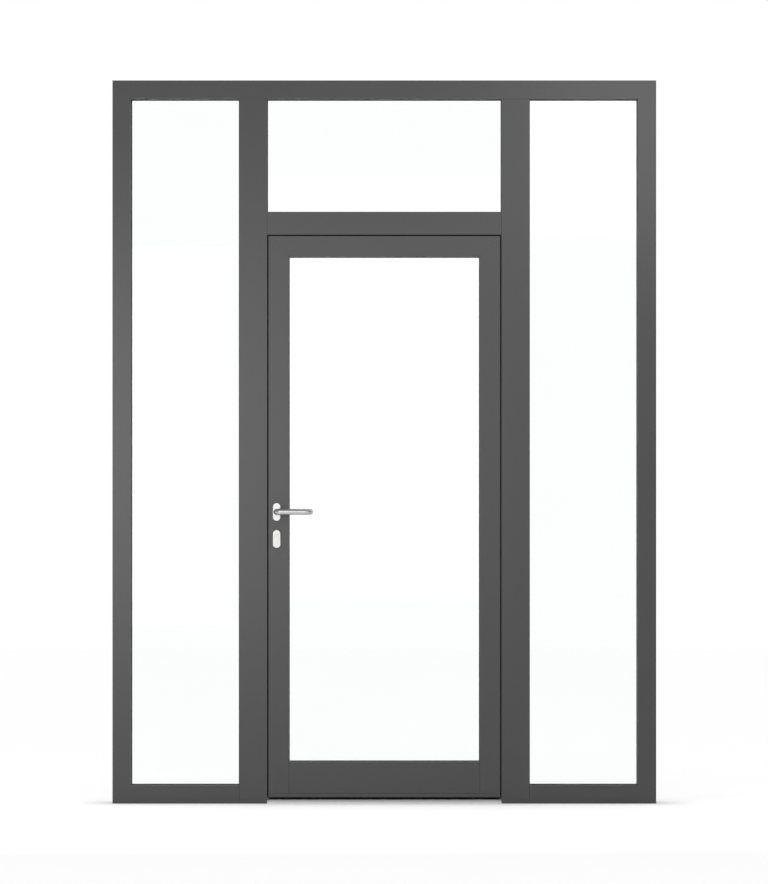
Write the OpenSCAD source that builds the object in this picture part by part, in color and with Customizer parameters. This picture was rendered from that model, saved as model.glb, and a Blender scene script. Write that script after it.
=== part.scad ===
// Glazed aluminium door element: one hinged leaf, a fixed light each side of it and one above.
// Z is up, the front faces -Y, and the origin is on the floor under the middle of the frame.
// Profile sections are drawn in u, across the visible face, and d, the depth from the front face.

/* [Frame] */
// Overall width of the frame
frame_w = 2000; // [1900:10:2400]
// Overall height of the frame
frame_h = 2660; // [2500:10:3000]
// Depth of every profile, front to back
depth = 75; // [74:1:84]
// Visible face of the outer frame
frame_face = 68; // [60:1:90]
// Visible face of the mullions
mullion_face = 103; // [90:1:120]
// Visible face of the transom
transom_face = 84; // [76:1:110]
// Visible height of the light above the leaf
light_h = 415.5; // [300:0.5:600]
// Width of the rebates for glass and leaf
rebate = 20; // [18:0.5:22]
// Depth of the flange in front of the glass
flange_d = 24; // [22:0.5:26]
// Wall of the extruded profiles
wall = 2; // [1.6:0.1:2.2]
// Width of the thermal break
break_w = 15; // [12:1:16]
// Radius of the outer edges of the profiles
edge_r = 0.8; // [0.4:0.1:1.2]
// Joint line where the face of one bar meets another
joint = 0.4; // [0.2:0.1:0.6]

/* [Leaf] */
// Width of the leaf's front face
leaf_w = 852; // [800:2:900]
// Gap between the faces of leaf and frame
gap = 5; // [4:0.5:6]
// Visible face of the stiles and the top rail
leaf_face = 75; // [72:1:95]
// Visible face of the bottom rail
bottom_face = 116.5; // [90:0.5:160]
// Height of the seal carrier under the leaf
carrier_h = 14; // [12:1:16]
// Floor to the underside of the seal carrier
carrier_z = 23.5; // [22:0.5:28]
// Shadow line between the bottom rail and the seal carrier
carrier_line = 1; // [0.5:0.25:2]
// Width of the slot that holds a bottom brush
brush_slot = 4; // [3:0.5:6]

/* [Threshold] */
// Height of the threshold
threshold_h = 14; // [12:0.5:18]
// Height of its upright nose
nose_h = 6.6; // [5:0.2:9]
// Radius of the threshold's fixing holes
threshold_hole_r = 3.25; // [2.5:0.25:4]
// Mullions to the outer fixing holes of the threshold
threshold_hole_end = 108; // [60:1:150]

/* [Glazing] */
// Thickness of one pane
pane_t = 6; // [4:1:8]
// Space between the two panes
pane_space = 16; // [12:1:18]
// Thickness of the glazing gaskets
gasket_t = 4; // [3:0.5:5]
// Clearance between the edge of the glass and the rebate
glass_edge = 5; // [4:0.5:6]
// How far the gaskets show past the flange
gasket_show = 2; // [0:0.5:3]

/* [Fixing to the wall] */
// Radius of the fixing holes in the jambs
fixing_r = 5.25; // [4:0.25:6]
// Ends of a jamb to its outer fixing holes
fixing_end = 205; // [150:5:250]
// Fixing holes in a jamb
fixing_n = 4; // [4:1:6]

/* [Handle] */
// Height of the spindle above the floor
spindle_z = 1073; // [1000:1:1100]
// Faceplate to spindle
backset = 50; // [47:0.5:52]
// Diameter of the lever's round bar
lever_d = 22; // [18:0.5:24]
// Length of the lever over its two ends
lever_len = 144; // [130:1:160]
// How far the lever stands out from the leaf
lever_out = 62; // [58:1:70]
// Centre radius of the lever's two bends
lever_bend = 17; // [14:1:20]
// Width of the oval roses
rose_w = 30; // [30:0.5:34]
// Height of the oval roses
rose_h = 68; // [66:1:80]
// Thickness of the oval roses
rose_t = 8; // [7:0.5:10]
// Side of the square spindle
spindle_w = 8; // [7:1:9]

/* [Lock] */
// Spindle to the axis of the lock cylinder
cylinder_drop = 88; // [85:1:100]
// Axis of the cylinder above the middle of its escutcheon
cylinder_up = 11.5; // [8:0.5:12]
// Turn of the lever, in degrees, that draws the latch right in
lever_turn = 40; // [30:1:45]
// Travel of the latch bolt
latch_travel = 13.96; // [12:0.02:14]
// How far the latch bolt stands out of the faceplate
latch_out = 14; // [13:0.5:14]
// Height of the latch bolt
latch_h = 26; // [22:1:28]
// Height of the dead bolt
bolt_h = 30; // [24:1:32]
// Thickness of both bolts
bolt_t = 12; // [10:0.5:13]
// Throw of the dead bolt
bolt_throw = 20; // [15:1:22]
// Length of the faceplate
faceplate_h = 245; // [235:1:280]

/* [Hinges] */
// Floor to the middle of the lowest hinge
hinge_low = 250; // [200:5:300]
// Middle of the highest hinge to the top of the leaf
hinge_high = 197.5; // [150:0.5:250]
// Radius of the hinge barrels
barrel_r = 10; // [9:0.25:10.5]
// Height of the leaf's knuckle
leaf_knuckle = 60; // [50:1:80]
// Height of each of the frame's knuckles
frame_knuckle = 36; // [30:1:50]
// Width of each hinge wing, from the pin
wing_w = 50; // [40:1:56]
// Thickness of the hinge wings
wing_t = 5; // [4:0.5:5.5]

/* [Hidden] */
$fn = 64;
eps = 0.01;
// Clearance between solids that lie in one another, or nearly touch
seat = 0.3;
// Running clearance of a shaft in its hole, on the radius
run = 0.05;
// How far a cut runs past the face that it opens
past = 1;

// Depths of the section, from the front face
break_front = flange_d + gasket_t;
break_back = break_front + break_w;
glass_t = 2 * pane_t + pane_space;
glass_back = break_front + glass_t;
bead_front = glass_back + gasket_t;
leaf_step = flange_d + gap;
nose_back = 3;
nose_w = rebate - nose_back;
fixing_step = (frame_h - 2 * fixing_end) / (fixing_n - 1);

// Half widths and heights in the frame
opening_x = leaf_w / 2 + gap;
mullion_out = opening_x + mullion_face;
jamb_in = frame_w / 2 - frame_face;
head_z = frame_h - frame_face;
transom_top = head_z - light_h;
transom_z = transom_top - transom_face;
leaf_top = transom_z - gap;
leaf_edge = leaf_w / 2 + rebate;
stile_in = leaf_w / 2 - leaf_face;
carrier_top = carrier_z + carrier_h;
rail_top = carrier_top + bottom_face;
top_rail_z = leaf_top - leaf_face;

// Groove for the lock's faceplate and the strike
groove_w = 24;
groove_t = 3;
groove_mid = (break_back + depth) / 2;
groove_d0 = groove_mid - groove_w / 2;
groove_d1 = groove_mid + groove_w / 2;

// Thermal break strips
strip_in = 4;
strip_t = 2;
strip_foot = 2;

// Cleats in the mitres and blocks in the butt joints
cleat_len = 120;
connector_len = 60;

// Threshold
threshold_wall = 1.8;
threshold_bevel = threshold_h - nose_h;
threshold_solid = 3;
chamber_d = threshold_bevel + threshold_solid;
chamber_step = (depth - chamber_d - threshold_wall) / 3;
threshold_hole_d = chamber_d + (3 * chamber_step - threshold_wall) / 2;
threshold_hole_x = opening_x - threshold_hole_end;

// Glazing
bite = rebate - glass_edge;
gasket_w = 8;
spacer_w = 7;
spacer_in = 3;
bead_round = 4;
bead_lip = 3;
block_len = 80;
block_end = 100;

// Seals of the leaf
seal_w = 10;
brush_front = 5;
brush_back = 12;
brush_d = [threshold_bevel + brush_front, depth - brush_back];
brush_foot_w = brush_slot + 4;
brush_foot_h = 3;
brush_short = 1;

// Lock
spindle_x = backset - leaf_edge;
cylinder_z = spindle_z - cylinder_drop;
key_rose_z = cylinder_z - cylinder_up;
hub_r = 10;
hub_disc_r = 13;
arm_half = lever_turn / 2;
arm_r = latch_travel / (2 * sin(arm_half));
arm_tip_r = 3;
latch_rise = 32;
latch_z = spindle_z + latch_rise;
bolt_drop = 40;
bolt_z = spindle_z - bolt_drop;
case_past = 18;
case_low = 45;
case_high = 50;
case_t = 16;
case_wall = 1.5;
case_x0 = groove_t - leaf_edge;
case_x1 = spindle_x + case_past;
case_z0 = cylinder_z - case_low;
case_z1 = spindle_z + case_high;
face_plate_z = (case_z0 + case_z1) / 2;
cam_r = 15;
cam_w = 9.6;
plug_r = 7;
cylinder_r = 8.5;
cylinder_h = 33;
cylinder_low = cylinder_h - cylinder_r;
cylinder_front = 70;
cylinder_back = 30;
cylinder_screw_drop = 20;
cylinder_screw_z = cylinder_z - cylinder_screw_drop;
rose_screw_in = 8.5;
rose_screw_z = rose_h / 2 - rose_screw_in;
rose_screw_len = 7;
spindle_grip = 28;
screw_r = 2;
screw_in = 12;
face_screw_zs = [face_plate_z - faceplate_h / 2 + screw_in, face_plate_z + faceplate_h / 2 - screw_in];

// Pockets behind the strike
pocket_play = 1;
pocket_end = 2.5;
strike_end = 30;
latch_pocket_x = leaf_edge + latch_out + pocket_end;
bolt_pocket_x = leaf_edge + bolt_throw + pocket_end;
strike_z0 = bolt_z - bolt_h / 2 - strike_end;
strike_z1 = latch_z + latch_h / 2 + strike_end;
strike_screw_zs = [strike_z0 + screw_in, strike_z1 - screw_in];

// Hinges
pin_r = 6;
pin_x = (leaf_edge + opening_x + rebate) / 2;
pin_off = barrel_r + 1.5;
knuckle_gap = 0.4;
hinge_h = leaf_knuckle + 2 * frame_knuckle + 2 * knuckle_gap;
hinge_top = leaf_top - hinge_high;
hinge_zs = [hinge_low, (hinge_low + hinge_top) / 2, hinge_top];
hinge_screw_end = 18.4;
hinge_screw_zs = [hinge_screw_end - hinge_h / 2, 0, hinge_h / 2 - hinge_screw_end];
hinge_screw_edge = 14;
hinge_screw_x = wing_w - hinge_screw_edge;
hinge_screw_len = 17;
pin_cap = 3;

// Colours
anthracite = [0.33, 0.33, 0.33];
steel = [0.75, 0.75, 0.74];
black = [0.08, 0.08, 0.08];
glass = [0.8, 0.9, 0.9, 0.3];

// Y of a depth in the section
function at(d) = d - depth / 2;

// Rectangle of the section
module rect(u0, u1, d0, d1) {
    translate([u0, d0]) square([u1 - u0, d1 - d0]);
}

// Rectangle of the section, rounded at its two corners on the face at d0, with its other face at d1
module soft_rect(u0, u1, d0, d1) {
    inward = d1 > d0 ? edge_r : -edge_r;
    low = min(d0 + inward, d1);
    high = max(d0 + inward, d1);
    rect(u0, u1, low, high);
    rect(u0 + edge_r, u1 - edge_r, min(d0, d1), max(d0, d1));
    for (u = [u0 + edge_r, u1 - edge_r]) translate([u, d0 + inward]) circle(r = edge_r);
}

// Box given by its corners, with its depth in d
module box(x0, x1, d0, d1, z0, z1) {
    translate([x0, at(d0), z0]) cube([x1 - x0, d1 - d0, z1 - z0]);
}

// Solid with its outline in X and Z, over a range of depth
module front_shape(d0, d1) {
    translate([0, at(d1), 0]) rotate([90, 0, 0]) linear_extrude(d1 - d0) children();
}

// Rod along the depth
module rod(x, z, r, d0, d1) {
    translate([x, at(d0), z]) rotate([-90, 0, 0]) cylinder(r = r, h = d1 - d0);
}

// Rod along X
module rod_x(d, z, r, x0, x1) {
    translate([x0, at(d), z]) rotate([0, 90, 0]) cylinder(r = r, h = x1 - x0);
}

module both_sides() {
    children();
    mirror([1, 0, 0]) children();
}

// Front shell of a profile: a body from b0 to b1 with a flange from f0 to f1
module front_shell(f0, f1, b0, b1) {
    difference() {
        union() {
            soft_rect(f0, f1, 0, flange_d);
            rect(b0, b1, edge_r, break_front);
        }
        rect(b0 + wall, b1 - wall, wall, break_front - wall);
        if (f0 < b0) rect(f0 + wall, b0, wall, flange_d - wall);
        if (f1 > b1) rect(b1, f1 - wall, wall, flange_d - wall);
    }
}

// Back shell of a frame profile, grooved at b0 where it faces the leaf
module back_shell(b0, b1, grooved) {
    difference() {
        soft_rect(b0, b1, depth, break_back);
        difference() {
            rect(b0 + wall, b1 - wall, break_back + wall, depth - wall);
            if (grooved) rect(b0, b0 + groove_t + wall, groove_d0 - wall, groove_d1 + wall);
        }
        if (grooved) rect(b0 - eps, b0 + groove_t, groove_d0, groove_d1);
    }
}

// Back shell of a leaf profile, with the overlap that closes on the door seal
module leaf_back_shell(b1) {
    difference() {
        union() {
            soft_rect(-rebate, b1, depth, break_back);
            soft_rect(-rebate, -rebate + nose_w, leaf_step, depth - edge_r);
        }
        difference() {
            union() {
                rect(-rebate + wall, b1 - wall, break_back + wall, depth - wall);
                rect(-rebate + wall, -rebate + nose_w - wall, leaf_step + wall, depth - wall);
            }
            rect(-rebate, -rebate + groove_t + wall, groove_d0 - wall, groove_d1 + wall);
        }
        rect(-rebate - eps, -rebate + groove_t, groove_d0, groove_d1);
    }
}

// The two plastic strips that join the shells of a profile
module strips(b0, b1) {
    for (u = [b0 + strip_in, b1 - strip_in - strip_t]) {
        rect(u, u + strip_t, break_front, break_back);
        for (d = [break_front, break_back - strip_t]) {
            rect(u - strip_foot, u + strip_t + strip_foot, d, d + strip_t);
        }
    }
}

module outer_section() {
    front_shell(0, frame_face, 0, frame_face - rebate);
    back_shell(0, frame_face - rebate, false);
}

module outer_strips() {
    strips(0, frame_face - rebate);
}

// Section of a mullion or the transom, with the leaf at u = 0 and glass on the far side
module divider_section(face) {
    front_shell(0, face, rebate, face - rebate);
    back_shell(rebate, face - rebate, true);
}

module divider_strips(face) {
    strips(rebate, face - rebate);
}

module stile_section() {
    front_shell(0, leaf_face, 0, leaf_face - rebate);
    leaf_back_shell(leaf_face - rebate);
}

module stile_strips() {
    strips(0, leaf_face - rebate);
}

module bottom_rail_section() {
    front_shell(0, bottom_face, 0, bottom_face - rebate);
    back_shell(0, bottom_face - rebate, false);
}

module bottom_rail_strips() {
    strips(0, bottom_face - rebate);
}

// Bars: each takes a section and gives it the length and the ends of that bar

// Left jamb, mitred at both ends
module jamb_bar() {
    m = rebate;
    x = -frame_w / 2;
    intersection() {
        translate([x, at(0), 0]) linear_extrude(frame_h) children();
        front_shape(-m, depth + m) polygon([
            [x - m, -m], [x + frame_face + m, frame_face + m],
            [x + frame_face + m, frame_h - frame_face - m], [x - m, frame_h + m]
        ]);
    }
}

// Head, mitred at both ends
module head_bar() {
    m = rebate;
    intersection() {
        translate([-frame_w / 2, at(0), frame_h]) rotate([0, 90, 0]) linear_extrude(frame_w) children();
        front_shape(-m, depth + m) polygon([
            [-frame_w / 2 - m, frame_h + m], [-jamb_in + m, head_z - m],
            [jamb_in - m, head_z - m], [frame_w / 2 + m, frame_h + m]
        ]);
    }
}

// Left sill, mitred at the jamb and let into the mullion's rebate
module sill_bar() {
    m = rebate;
    x = -frame_w / 2;
    difference() {
        intersection() {
            translate([rebate - mullion_out, at(0), 0]) rotate([0, -90, 0])
                linear_extrude(frame_w / 2 - mullion_out + rebate) children();
            front_shape(-m, depth + m) polygon([
                [x - m, -m], [x + frame_face + m, frame_face + m], [0, frame_face + m], [0, -m]
            ]);
        }
        box(-mullion_out - joint, 0, -m, flange_d, -m, frame_face + m);
    }
}

// Right mullion, let into the head's rebate
module mullion_bar() {
    m = rebate;
    difference() {
        translate([opening_x, at(0), 0]) linear_extrude(head_z + rebate) children();
        box(opening_x - m, mullion_out + m, -m, flange_d, head_z - joint, frame_h);
    }
}

// Transom, let into the rebates of both mullions
module transom_bar() {
    m = rebate;
    end_x = opening_x + rebate;
    difference() {
        translate([end_x, at(0), transom_z]) rotate([0, -90, 0]) linear_extrude(2 * end_x) children();
        both_sides() box(opening_x - joint, end_x + m, -m, flange_d, transom_z - m, transom_top + m);
    }
}

// Right stile of the leaf, mitred at the top
module stile_bar() {
    m = rebate;
    x = leaf_w / 2;
    intersection() {
        translate([x, at(0), carrier_top]) mirror([1, 0, 0])
            linear_extrude(leaf_top + rebate - carrier_top) children();
        front_shape(-m, depth + m) polygon([
            [x + 2 * m, 0], [x + 2 * m, leaf_top + 2 * m], [stile_in - m, top_rail_z - m], [stile_in - m, 0]
        ]);
    }
}

// Outline between the two top mitres of the leaf, in from them by a cut along X
module top_rail_outline(cut) {
    m = rebate;
    x = leaf_w / 2 + 2 * m - cut;
    in_x = stile_in - m - cut;
    polygon([
        [-x, leaf_top + 2 * m], [-in_x, top_rail_z - m], [in_x, top_rail_z - m], [x, leaf_top + 2 * m]
    ]);
}

// Top rail of the leaf, mitred at both ends
module top_rail_bar() {
    intersection() {
        translate([-leaf_edge, at(0), leaf_top]) rotate([0, 90, 0]) linear_extrude(2 * leaf_edge) children();
        union() {
            front_shape(-rebate, flange_d) top_rail_outline(joint);
            front_shape(flange_d, depth + rebate) top_rail_outline(0);
        }
    }
}

// Bottom rail of the leaf, let into the rebates of both stiles
module bottom_rail_bar() {
    m = rebate;
    end_x = stile_in + rebate;
    difference() {
        translate([end_x, at(0), carrier_top]) rotate([0, -90, 0]) linear_extrude(2 * end_x) children();
        both_sides() box(stile_in - joint, end_x + m, -m, flange_d, carrier_top - m, rail_top + m);
    }
}

// Frame

module jamb_left() {
    color(anthracite) difference() {
        jamb_bar() outer_section();
        for (i = [0:fixing_n - 1]) {
            rod_x(groove_mid, fixing_end + i * fixing_step, fixing_r,
                  -frame_w / 2 - rebate, -jamb_in + rebate);
        }
    }
}

module jamb_right() {
    mirror([1, 0, 0]) jamb_left();
}

module head() {
    color(anthracite) head_bar() outer_section();
}

module sill_left() {
    color(anthracite) sill_bar() outer_section();
}

module sill_right() {
    mirror([1, 0, 0]) sill_left();
}

// Latch pocket open at the back, so that the leaf pulls free, and a closed pocket for the dead bolt
module strike_pockets() {
    box(-latch_pocket_x, -opening_x, groove_mid - bolt_t / 2 - pocket_play, depth + rebate,
        latch_z - latch_h / 2 - pocket_play, latch_z + latch_h / 2 + pocket_play);
    box(-bolt_pocket_x, -opening_x, groove_mid - bolt_t / 2 - pocket_play,
        groove_mid + bolt_t / 2 + pocket_play,
        bolt_z - bolt_h / 2 - pocket_play, bolt_z + bolt_h / 2 + pocket_play);
}

module mullion_left() {
    color(anthracite) difference() {
        mirror([1, 0, 0]) mullion_bar() divider_section(mullion_face);
        strike_pockets();
        for (z = strike_screw_zs) rod_x(groove_mid, z, screw_r, -mullion_out, -opening_x);
    }
}

module mullion_right() {
    color(anthracite) difference() {
        mullion_bar() divider_section(mullion_face);
        hinge_screw_holes(1, screw_r, depth - rebate, depth + rebate);
    }
}

module transom() {
    color(anthracite) transom_bar() divider_section(transom_face);
}

// Threshold between the mullions, with a chamfered nose and three chambers
module threshold_section() {
    difference() {
        polygon([[0, 0], [depth, 0], [depth, threshold_h], [threshold_bevel, threshold_h], [0, nose_h]]);
        for (i = [0:2]) {
            rect(chamber_d + i * chamber_step, chamber_d + (i + 1) * chamber_step - threshold_wall,
                threshold_wall, threshold_h - threshold_wall);
        }
    }
}

module threshold() {
    end_x = opening_x + rebate;
    color(steel) difference() {
        translate([-end_x, at(0), 0]) rotate([90, 0, 90]) linear_extrude(2 * end_x) threshold_section();
        both_sides() box(opening_x, end_x + rebate, -rebate, flange_d, -1, threshold_h + 1);
        for (x = [-threshold_hole_x, 0, threshold_hole_x]) {
            translate([x, at(threshold_hole_d), -1]) cylinder(r = threshold_hole_r, h = threshold_h + 2);
        }
    }
}

module frame_thermal_breaks() {
    color(black) {
        both_sides() jamb_bar() outer_strips();
        head_bar() outer_strips();
        both_sides() sill_bar() outer_strips();
        both_sides() mullion_bar() divider_strips(mullion_face);
        transom_bar() divider_strips(transom_face);
    }
}

// Angle cleat that fills a chamber at a mitre, its corner at the origin and its arms along X and Z
module cleat(u0, u1, len) {
    w = u1 - u0;
    hollow = w / 3;
    difference() {
        polygon([[u0, u0], [len, u0], [len, u1], [u1, u1], [u1, len], [u0, len]]);
        for (p = [u1 + hollow, u1 + 2 * hollow + 10]) {
            translate([p - hollow / 2, u0 + hollow]) square([hollow, hollow]);
            translate([u0 + hollow, p - hollow / 2]) square([hollow, hollow]);
        }
    }
}

module frame_corner_cleats() {
    u0 = wall + seat;
    u1 = frame_face - rebate - wall - seat;
    color(steel) both_sides() for (top = [0, 1]) {
        for (d = [[wall, break_front - wall], [break_back + wall, depth - wall]]) {
            front_shape(d[0] + seat, d[1] - seat) translate([-frame_w / 2, top * frame_h])
                mirror([0, top]) cleat(u0, u1, cleat_len);
        }
    }
}

// Block that pins the end of a bar to the bar it meets, in the bar's back chamber
module connector_z(x0, x1, z) {
    box(x0 + wall + seat, x1 - wall - seat, break_back + wall + seat, depth - wall - seat,
        z - connector_len, z);
}

module connector_x(x, z0, z1) {
    box(x - connector_len, x, break_back + wall + seat, depth - wall - seat,
        z0 + wall + seat, z1 - wall - seat);
}

module frame_joint_connectors() {
    body_x0 = opening_x + rebate;
    body_x1 = mullion_out - rebate;
    color(steel) both_sides() {
        connector_z(body_x0 + groove_t, body_x1, head_z + rebate);
        connector_x(body_x0, transom_z + rebate + groove_t, transom_top - rebate);
        mirror([1, 0, 0]) connector_x(-body_x1, 0, frame_face - rebate);
    }
}

// Glazing, for a light whose visible opening runs from x0 to x1 and from z0 to z1

module pane(x0, x1, z0, z1, d) {
    color(glass) box(x0 - bite, x1 + bite, d, d + pane_t, z0 - bite, z1 + bite);
}

// Rectangular ring in the depth range, its inner edge in from the opening and its outer edge out from it
module ring(x0, x1, z0, z1, out_w, in_w, d0, d1) {
    front_shape(d0, d1) difference() {
        translate([x0 - out_w, z0 - out_w]) square([x1 - x0 + 2 * out_w, z1 - z0 + 2 * out_w]);
        translate([x0 + in_w, z0 + in_w]) square([x1 - x0 - 2 * in_w, z1 - z0 - 2 * in_w]);
    }
}

module spacer(x0, x1, z0, z1) {
    out = bite - spacer_in;
    color(black) ring(x0, x1, z0, z1, out, spacer_w - out, break_front + pane_t, glass_back - pane_t);
}

module gaskets(x0, x1, z0, z1) {
    color(black) {
        ring(x0, x1, z0, z1, gasket_w, gasket_show, flange_d, break_front);
        ring(x0, x1, z0, z1, gasket_w, gasket_show, glass_back, bead_front);
    }
}

// Hollow glazing bead in u and d, with a rounded back edge and a lip behind the gasket
module bead_section() {
    difference() {
        union() {
            rect(-rebate, 0, bead_front, depth - bead_round);
            rect(-rebate, -bead_round, bead_front, depth);
            translate([-bead_round, depth - bead_round]) circle(r = bead_round);
        }
        rect(-rebate + wall, -wall, bead_front + wall, depth - wall - 1);
        rect(-rebate + wall + 2, -wall - bead_lip, bead_front - 1, bead_front + wall + 1);
    }
}

// Four beads with square ends: the level ones run through and the upright ones stand between them
module beads(x0, x1, z0, z1) {
    w = x1 - x0 + 2 * rebate;
    h = z1 - z0 - 2 * seat;
    color(anthracite) {
        translate([x0 - rebate, at(0), z0]) rotate([0, 90, 0]) mirror([1, 0, 0])
            linear_extrude(w) bead_section();
        translate([x0 - rebate, at(0), z1]) rotate([0, 90, 0]) linear_extrude(w) bead_section();
        translate([x0, at(0), z0 + seat]) linear_extrude(h) bead_section();
        translate([x1, at(0), z0 + seat]) mirror([1, 0, 0]) linear_extrude(h) bead_section();
    }
}

// Blocks that carry the glass near its two ends
module setting_blocks(x0, x1, z0) {
    color(black) for (x = [x0 + block_end, x1 - block_end]) {
        box(x - block_len / 2, x + block_len / 2, flange_d + seat, bead_front - seat, z0 - rebate, z0 - bite);
    }
}

module sidelight_left_front_pane() {
    pane(-jamb_in, -mullion_out, frame_face, head_z, break_front);
}

module sidelight_left_back_pane() {
    pane(-jamb_in, -mullion_out, frame_face, head_z, glass_back - pane_t);
}

module sidelight_left_spacer() {
    spacer(-jamb_in, -mullion_out, frame_face, head_z);
}

module sidelight_right_front_pane() {
    mirror([1, 0, 0]) sidelight_left_front_pane();
}

module sidelight_right_back_pane() {
    mirror([1, 0, 0]) sidelight_left_back_pane();
}

module sidelight_right_spacer() {
    mirror([1, 0, 0]) sidelight_left_spacer();
}

module transom_light_front_pane() {
    pane(-opening_x, opening_x, transom_top, head_z, break_front);
}

module transom_light_back_pane() {
    pane(-opening_x, opening_x, transom_top, head_z, glass_back - pane_t);
}

module transom_light_spacer() {
    spacer(-opening_x, opening_x, transom_top, head_z);
}

module sidelight_beads() {
    both_sides() beads(-jamb_in, -mullion_out, frame_face, head_z);
}

module transom_light_beads() {
    beads(-opening_x, opening_x, transom_top, head_z);
}

module sidelight_gaskets() {
    both_sides() gaskets(-jamb_in, -mullion_out, frame_face, head_z);
}

module transom_light_gaskets() {
    gaskets(-opening_x, opening_x, transom_top, head_z);
}

module frame_setting_blocks() {
    both_sides() setting_blocks(-jamb_in, -mullion_out, frame_face);
    setting_blocks(-opening_x, opening_x, transom_top);
}

// Seal on the back of the frame's flange, round the sides and the top of the leaf
module door_stop_seal() {
    in_x = opening_x + (rebate - seal_w) / 2;
    in_z = transom_z + (rebate - seal_w) / 2;
    color(black) front_shape(flange_d, leaf_step - seat) difference() {
        translate([-in_x - seal_w, threshold_h]) square([2 * (in_x + seal_w), in_z + seal_w - threshold_h]);
        translate([-in_x, 0]) square([2 * in_x, in_z]);
    }
}

// Strike in the left mullion's groove, open at the back beside the latch
module strike_plate() {
    x0 = opening_x + rebate;
    color(steel) difference() {
        box(-x0 - groove_t, -x0, groove_d0 + seat, groove_d1 - seat, strike_z0, strike_z1);
        strike_pockets();
        strike_screws();
    }
}

// Screw along the depth with a flat countersunk head, its head at d1
module screw_d(x, z, d0, d1) {
    rod(x, z, screw_r, d0, d1 - screw_r);
    translate([x, at(d1 - screw_r), z]) rotate([-90, 0, 0])
        cylinder(r1 = screw_r, r2 = 2 * screw_r, h = screw_r);
}

// Screw along X with its countersunk head at x1
module screw_x(d, z, x0, x1) {
    turn = x1 > x0 ? 90 : -90;
    translate([x0, at(d), z]) rotate([0, turn, 0]) {
        cylinder(r = screw_r, h = abs(x1 - x0) - screw_r);
        translate([0, 0, abs(x1 - x0) - screw_r]) cylinder(r1 = screw_r, r2 = 2 * screw_r, h = screw_r);
    }
}

// Holes for the screws of one side's wings: side is 1 for the frame and -1 for the leaf
module hinge_screw_holes(side, r, d0, d1) {
    for (z = hinge_zs, s = hinge_screw_zs) rod(pin_x + side * hinge_screw_x, z + s, r, d0, d1);
}

module hinge_screws(side) {
    for (z = hinge_zs, s = hinge_screw_zs) {
        screw_d(pin_x + side * hinge_screw_x, z + s, depth + wing_t - hinge_screw_len, depth + wing_t);
    }
}

module strike_screws() {
    x1 = -opening_x - rebate;
    for (z = strike_screw_zs) screw_x(groove_mid, z, x1 - 14, x1);
}

module frame_screws() {
    color(steel) {
        hinge_screws(1);
        strike_screws();
    }
}

// Hinges on the back of the right side

// Plate of a wing with its knuckle necks, in the pin's own frame, towards +X
module wing_plate(necks) {
    chamfer = 2;
    difference() {
        union() {
            translate([barrel_r + 1, 0, -hinge_h / 2]) linear_extrude(hinge_h) polygon([
                [0, -pin_off], [wing_w - barrel_r - 1, -pin_off],
                [wing_w - barrel_r - 1, wing_t - chamfer - pin_off],
                [wing_w - barrel_r - 1 - chamfer, wing_t - pin_off], [0, wing_t - pin_off]
            ]);
            for (n = necks) {
                translate([0, -pin_off, n[0]]) cube([barrel_r + 1 + eps, wing_t, n[1] - n[0]]);
                translate([0, 0, n[0]]) cylinder(r = barrel_r, h = n[1] - n[0]);
            }
        }
        for (s = hinge_screw_zs) {
            translate([hinge_screw_x, wing_t - pin_off, s]) rotate([90, 0, 0]) {
                cylinder(r = screw_r, h = wing_t + 1);
                cylinder(r1 = 2 * screw_r, r2 = screw_r, h = screw_r);
            }
        }
    }
}

module at_pins() {
    for (z = hinge_zs) translate([pin_x, at(depth) + pin_off, z]) children();
}

module hinge_frame_wings() {
    top = hinge_h / 2;
    color(anthracite) at_pins() difference() {
        wing_plate([[-top, -top + frame_knuckle], [top - frame_knuckle, top]]);
        translate([0, 0, -top - 1]) cylinder(r = pin_r, h = hinge_h + 2);
    }
}

module hinge_leaf_wings() {
    color(anthracite) at_pins() difference() {
        mirror([1, 0, 0]) wing_plate([[-leaf_knuckle / 2, leaf_knuckle / 2]]);
        translate([0, 0, -hinge_h]) cylinder(r = pin_r + run, h = 2 * hinge_h);
    }
}

module hinge_pins() {
    color(steel) at_pins() {
        translate([0, 0, -hinge_h / 2]) cylinder(r = pin_r, h = hinge_h);
        for (m = [0, 1]) mirror([0, 0, m]) translate([0, 0, hinge_h / 2]) {
            cylinder(r1 = barrel_r - 0.4, r2 = barrel_r - 2, h = pin_cap);
        }
    }
}

// Leaf

// Holes through the lock stile for spindle, cylinder, lock case and screws
module lock_cuts() {
    rod(spindle_x, spindle_z, lever_d / 2 + past, -rebate, depth + rebate);
    front_shape(-rebate, depth + rebate) cylinder_outline(0.5);
    box(-leaf_edge - past, case_x0 + wall + past, groove_mid - case_t / 2 - seat, groove_mid + case_t / 2 + seat,
        case_z0 - seat, case_z1 + seat);
    for (z = [spindle_z, key_rose_z], s = [-rose_screw_z, rose_screw_z]) {
        rod(spindle_x, z + s, screw_r, -rebate, break_front);
        rod(spindle_x, z + s, screw_r, break_back, depth + rebate);
    }
    for (z = face_screw_zs) rod_x(groove_mid, z, screw_r, -leaf_edge - past, -leaf_edge + rebate);
}

module lock_stile() {
    color(anthracite) difference() {
        mirror([1, 0, 0]) stile_bar() stile_section();
        lock_cuts();
    }
}

module hinge_stile() {
    color(anthracite) difference() {
        stile_bar() stile_section();
        hinge_screw_holes(-1, screw_r, depth - rebate, depth + rebate);
    }
}

module leaf_top_rail() {
    color(anthracite) top_rail_bar() stile_section();
}

module leaf_bottom_rail() {
    color(anthracite) bottom_rail_bar() bottom_rail_section();
}

module leaf_thermal_breaks() {
    color(black) {
        both_sides() stile_bar() stile_strips();
        top_rail_bar() stile_strips();
        bottom_rail_bar() bottom_rail_strips();
    }
}

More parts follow.
